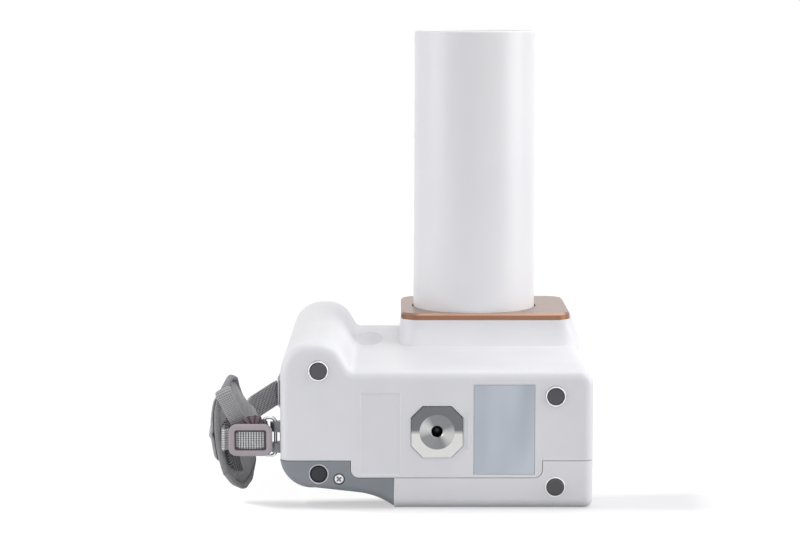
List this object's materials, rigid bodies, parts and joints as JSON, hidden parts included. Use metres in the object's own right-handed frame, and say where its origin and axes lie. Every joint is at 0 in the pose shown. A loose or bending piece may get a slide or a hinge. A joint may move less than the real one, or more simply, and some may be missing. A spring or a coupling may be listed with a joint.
{
  "type": "hand-held dental x-ray unit",
  "caption": "Camera-shaped portable x-ray unit resting on its rear face, with an upright cone, a grip with a padded hand strap, rubber feet and a tripod thread.",
  "frame": {"origin": "on the rear face that the unit rests on, under the cone's axis", "axes": "+Z along the cone towards its tip, -Y out of the underside with the feet and the tripod thread, -X towards the grip"},
  "size_m": [0.1934, 0.1662, 0.237],
  "materials": {
    "white_shell": "satin white moulded ABS",
    "grip_grey": "matt grey overmoulded elastomer",
    "rose_plate": "satin anodised",
    "white_cone": "satin white tube",
    "dark_disc": "matt black",
    "head_metal": "cast, plain",
    "turned_steel": "turned",
    "foot_rubber": "matt grey rubber",
    "foot_rubber_dark": "matt dark rubber",
    "label_foil": "satin foil",
    "display_glass": "gloss black window",
    "key_membrane": "matt membrane",
    "button_plastic": "satin grey",
    "port_rubber": "matt grey rubber",
    "lug_metal": "dark satin",
    "ring_wire": "polished wire",
    "webbing": "ribbed woven nylon",
    "buckle_plastic": "matt pinkish grey",
    "strap_fabric": "brushed grey microfibre"
  },
  "bodies": {
    "unit": {"front_housing": "white_shell", "rear_housing": "white_shell", "grip_cover": "grip_grey", "trim_plate": "rose_plate", "cone": "white_cone", "aperture_disc": "dark_disc", "tube_head": "head_metal", "tripod_plate": "turned_steel", "foot_grip_front": "foot_rubber", "foot_grip_rear": "foot_rubber_dark", "foot_right_front": "foot_rubber", "foot_right_rear": "foot_rubber", "label_plate": "label_foil", "display_window": "display_glass", "keypad": "key_membrane", "exposure_button": "button_plastic", "port_cover": "port_rubber", "lug_near": "lug_metal", "lug_far": "lug_metal"},
    "near_ring": {"ring_near": "ring_wire"},
    "hand_strap": {"webbing_near": "webbing", "webbing_far": "webbing", "strap_buckle": "buckle_plastic", "strap_pad": "strap_fabric"},
    "far_ring": {"ring_far": "ring_wire"}
  },
  "joints": [
    {"name": "near_ring_swing", "type": "hinge", "parent": "unit", "child": "near_ring", "pos_m": [-0.1034, -0.107, 0.034], "axis": [0, 0, 1], "range_deg": [-30, 30]},
    {"name": "strap_turn", "type": "hinge", "parent": "near_ring", "child": "hand_strap", "pos_m": [-0.1094, -0.107, 0.034], "axis": [0, 0, 1], "range_deg": [-30, 30]},
    {"name": "far_ring_swing", "type": "hinge", "parent": "unit", "child": "far_ring", "pos_m": [-0.1034, 0.028, 0.034], "axis": [0, 0, 1], "range_deg": [-30, 30]}
  ],
  "couplings": [
    {"joint": "strap_turn", "follows": "near_ring_swing", "ratio": -1},
    {"joint": "far_ring_swing", "follows": "near_ring_swing", "ratio": 1}
  ]
}
